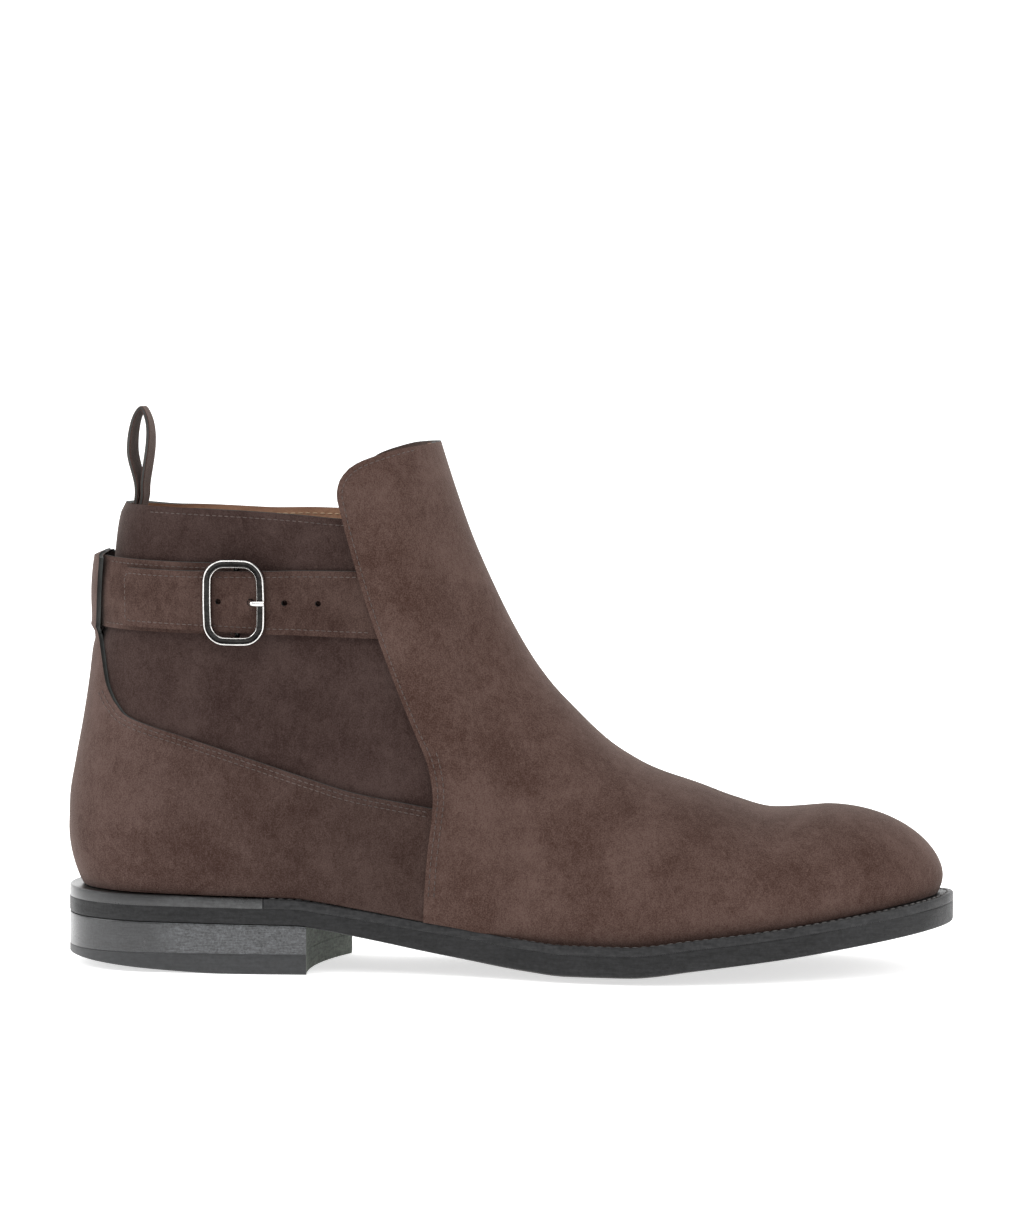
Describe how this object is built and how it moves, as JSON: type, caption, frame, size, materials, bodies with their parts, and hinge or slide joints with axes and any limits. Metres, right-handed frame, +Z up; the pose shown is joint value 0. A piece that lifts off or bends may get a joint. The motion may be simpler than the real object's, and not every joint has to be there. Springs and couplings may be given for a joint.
{
  "type": "buckled ankle boot",
  "caption": "Men's brown suede ankle boot for the right foot, with a buckled strap, pull loop and stacked heel.",
  "frame": {"origin": "middle of the whole boot's box in plan, at the floor", "axes": "+X to the toe, +Y to the inner (medial) side, +Z up; the buckle faces -Y"},
  "size_m": [0.308, 0.1054, 0.1939],
  "materials": {
    "quarter_suede": "napped suede",
    "vamp_suede": "napped suede",
    "lining_leather": "smooth",
    "sole_leather": "waxed black edge",
    "heel_rubber": "satin",
    "buckle_metal": "dark polished nickel",
    "prong_metal": "polished nickel"
  },
  "bodies": {
    "root": {"outsole": "sole_leather", "welt": "sole_leather", "heel_rand": "sole_leather", "heel_stack": "sole_leather", "heel_top_piece": "heel_rubber", "insole": "lining_leather", "upper": "quarter_suede", "vamp": "vamp_suede", "heel_foxing": "vamp_suede", "back_strap": "vamp_suede", "buckle_strap": "vamp_suede", "buckle_frame": "buckle_metal", "buckle_prong": "prong_metal", "pull_loop": "vamp_suede"}
  },
  "joints": []
}
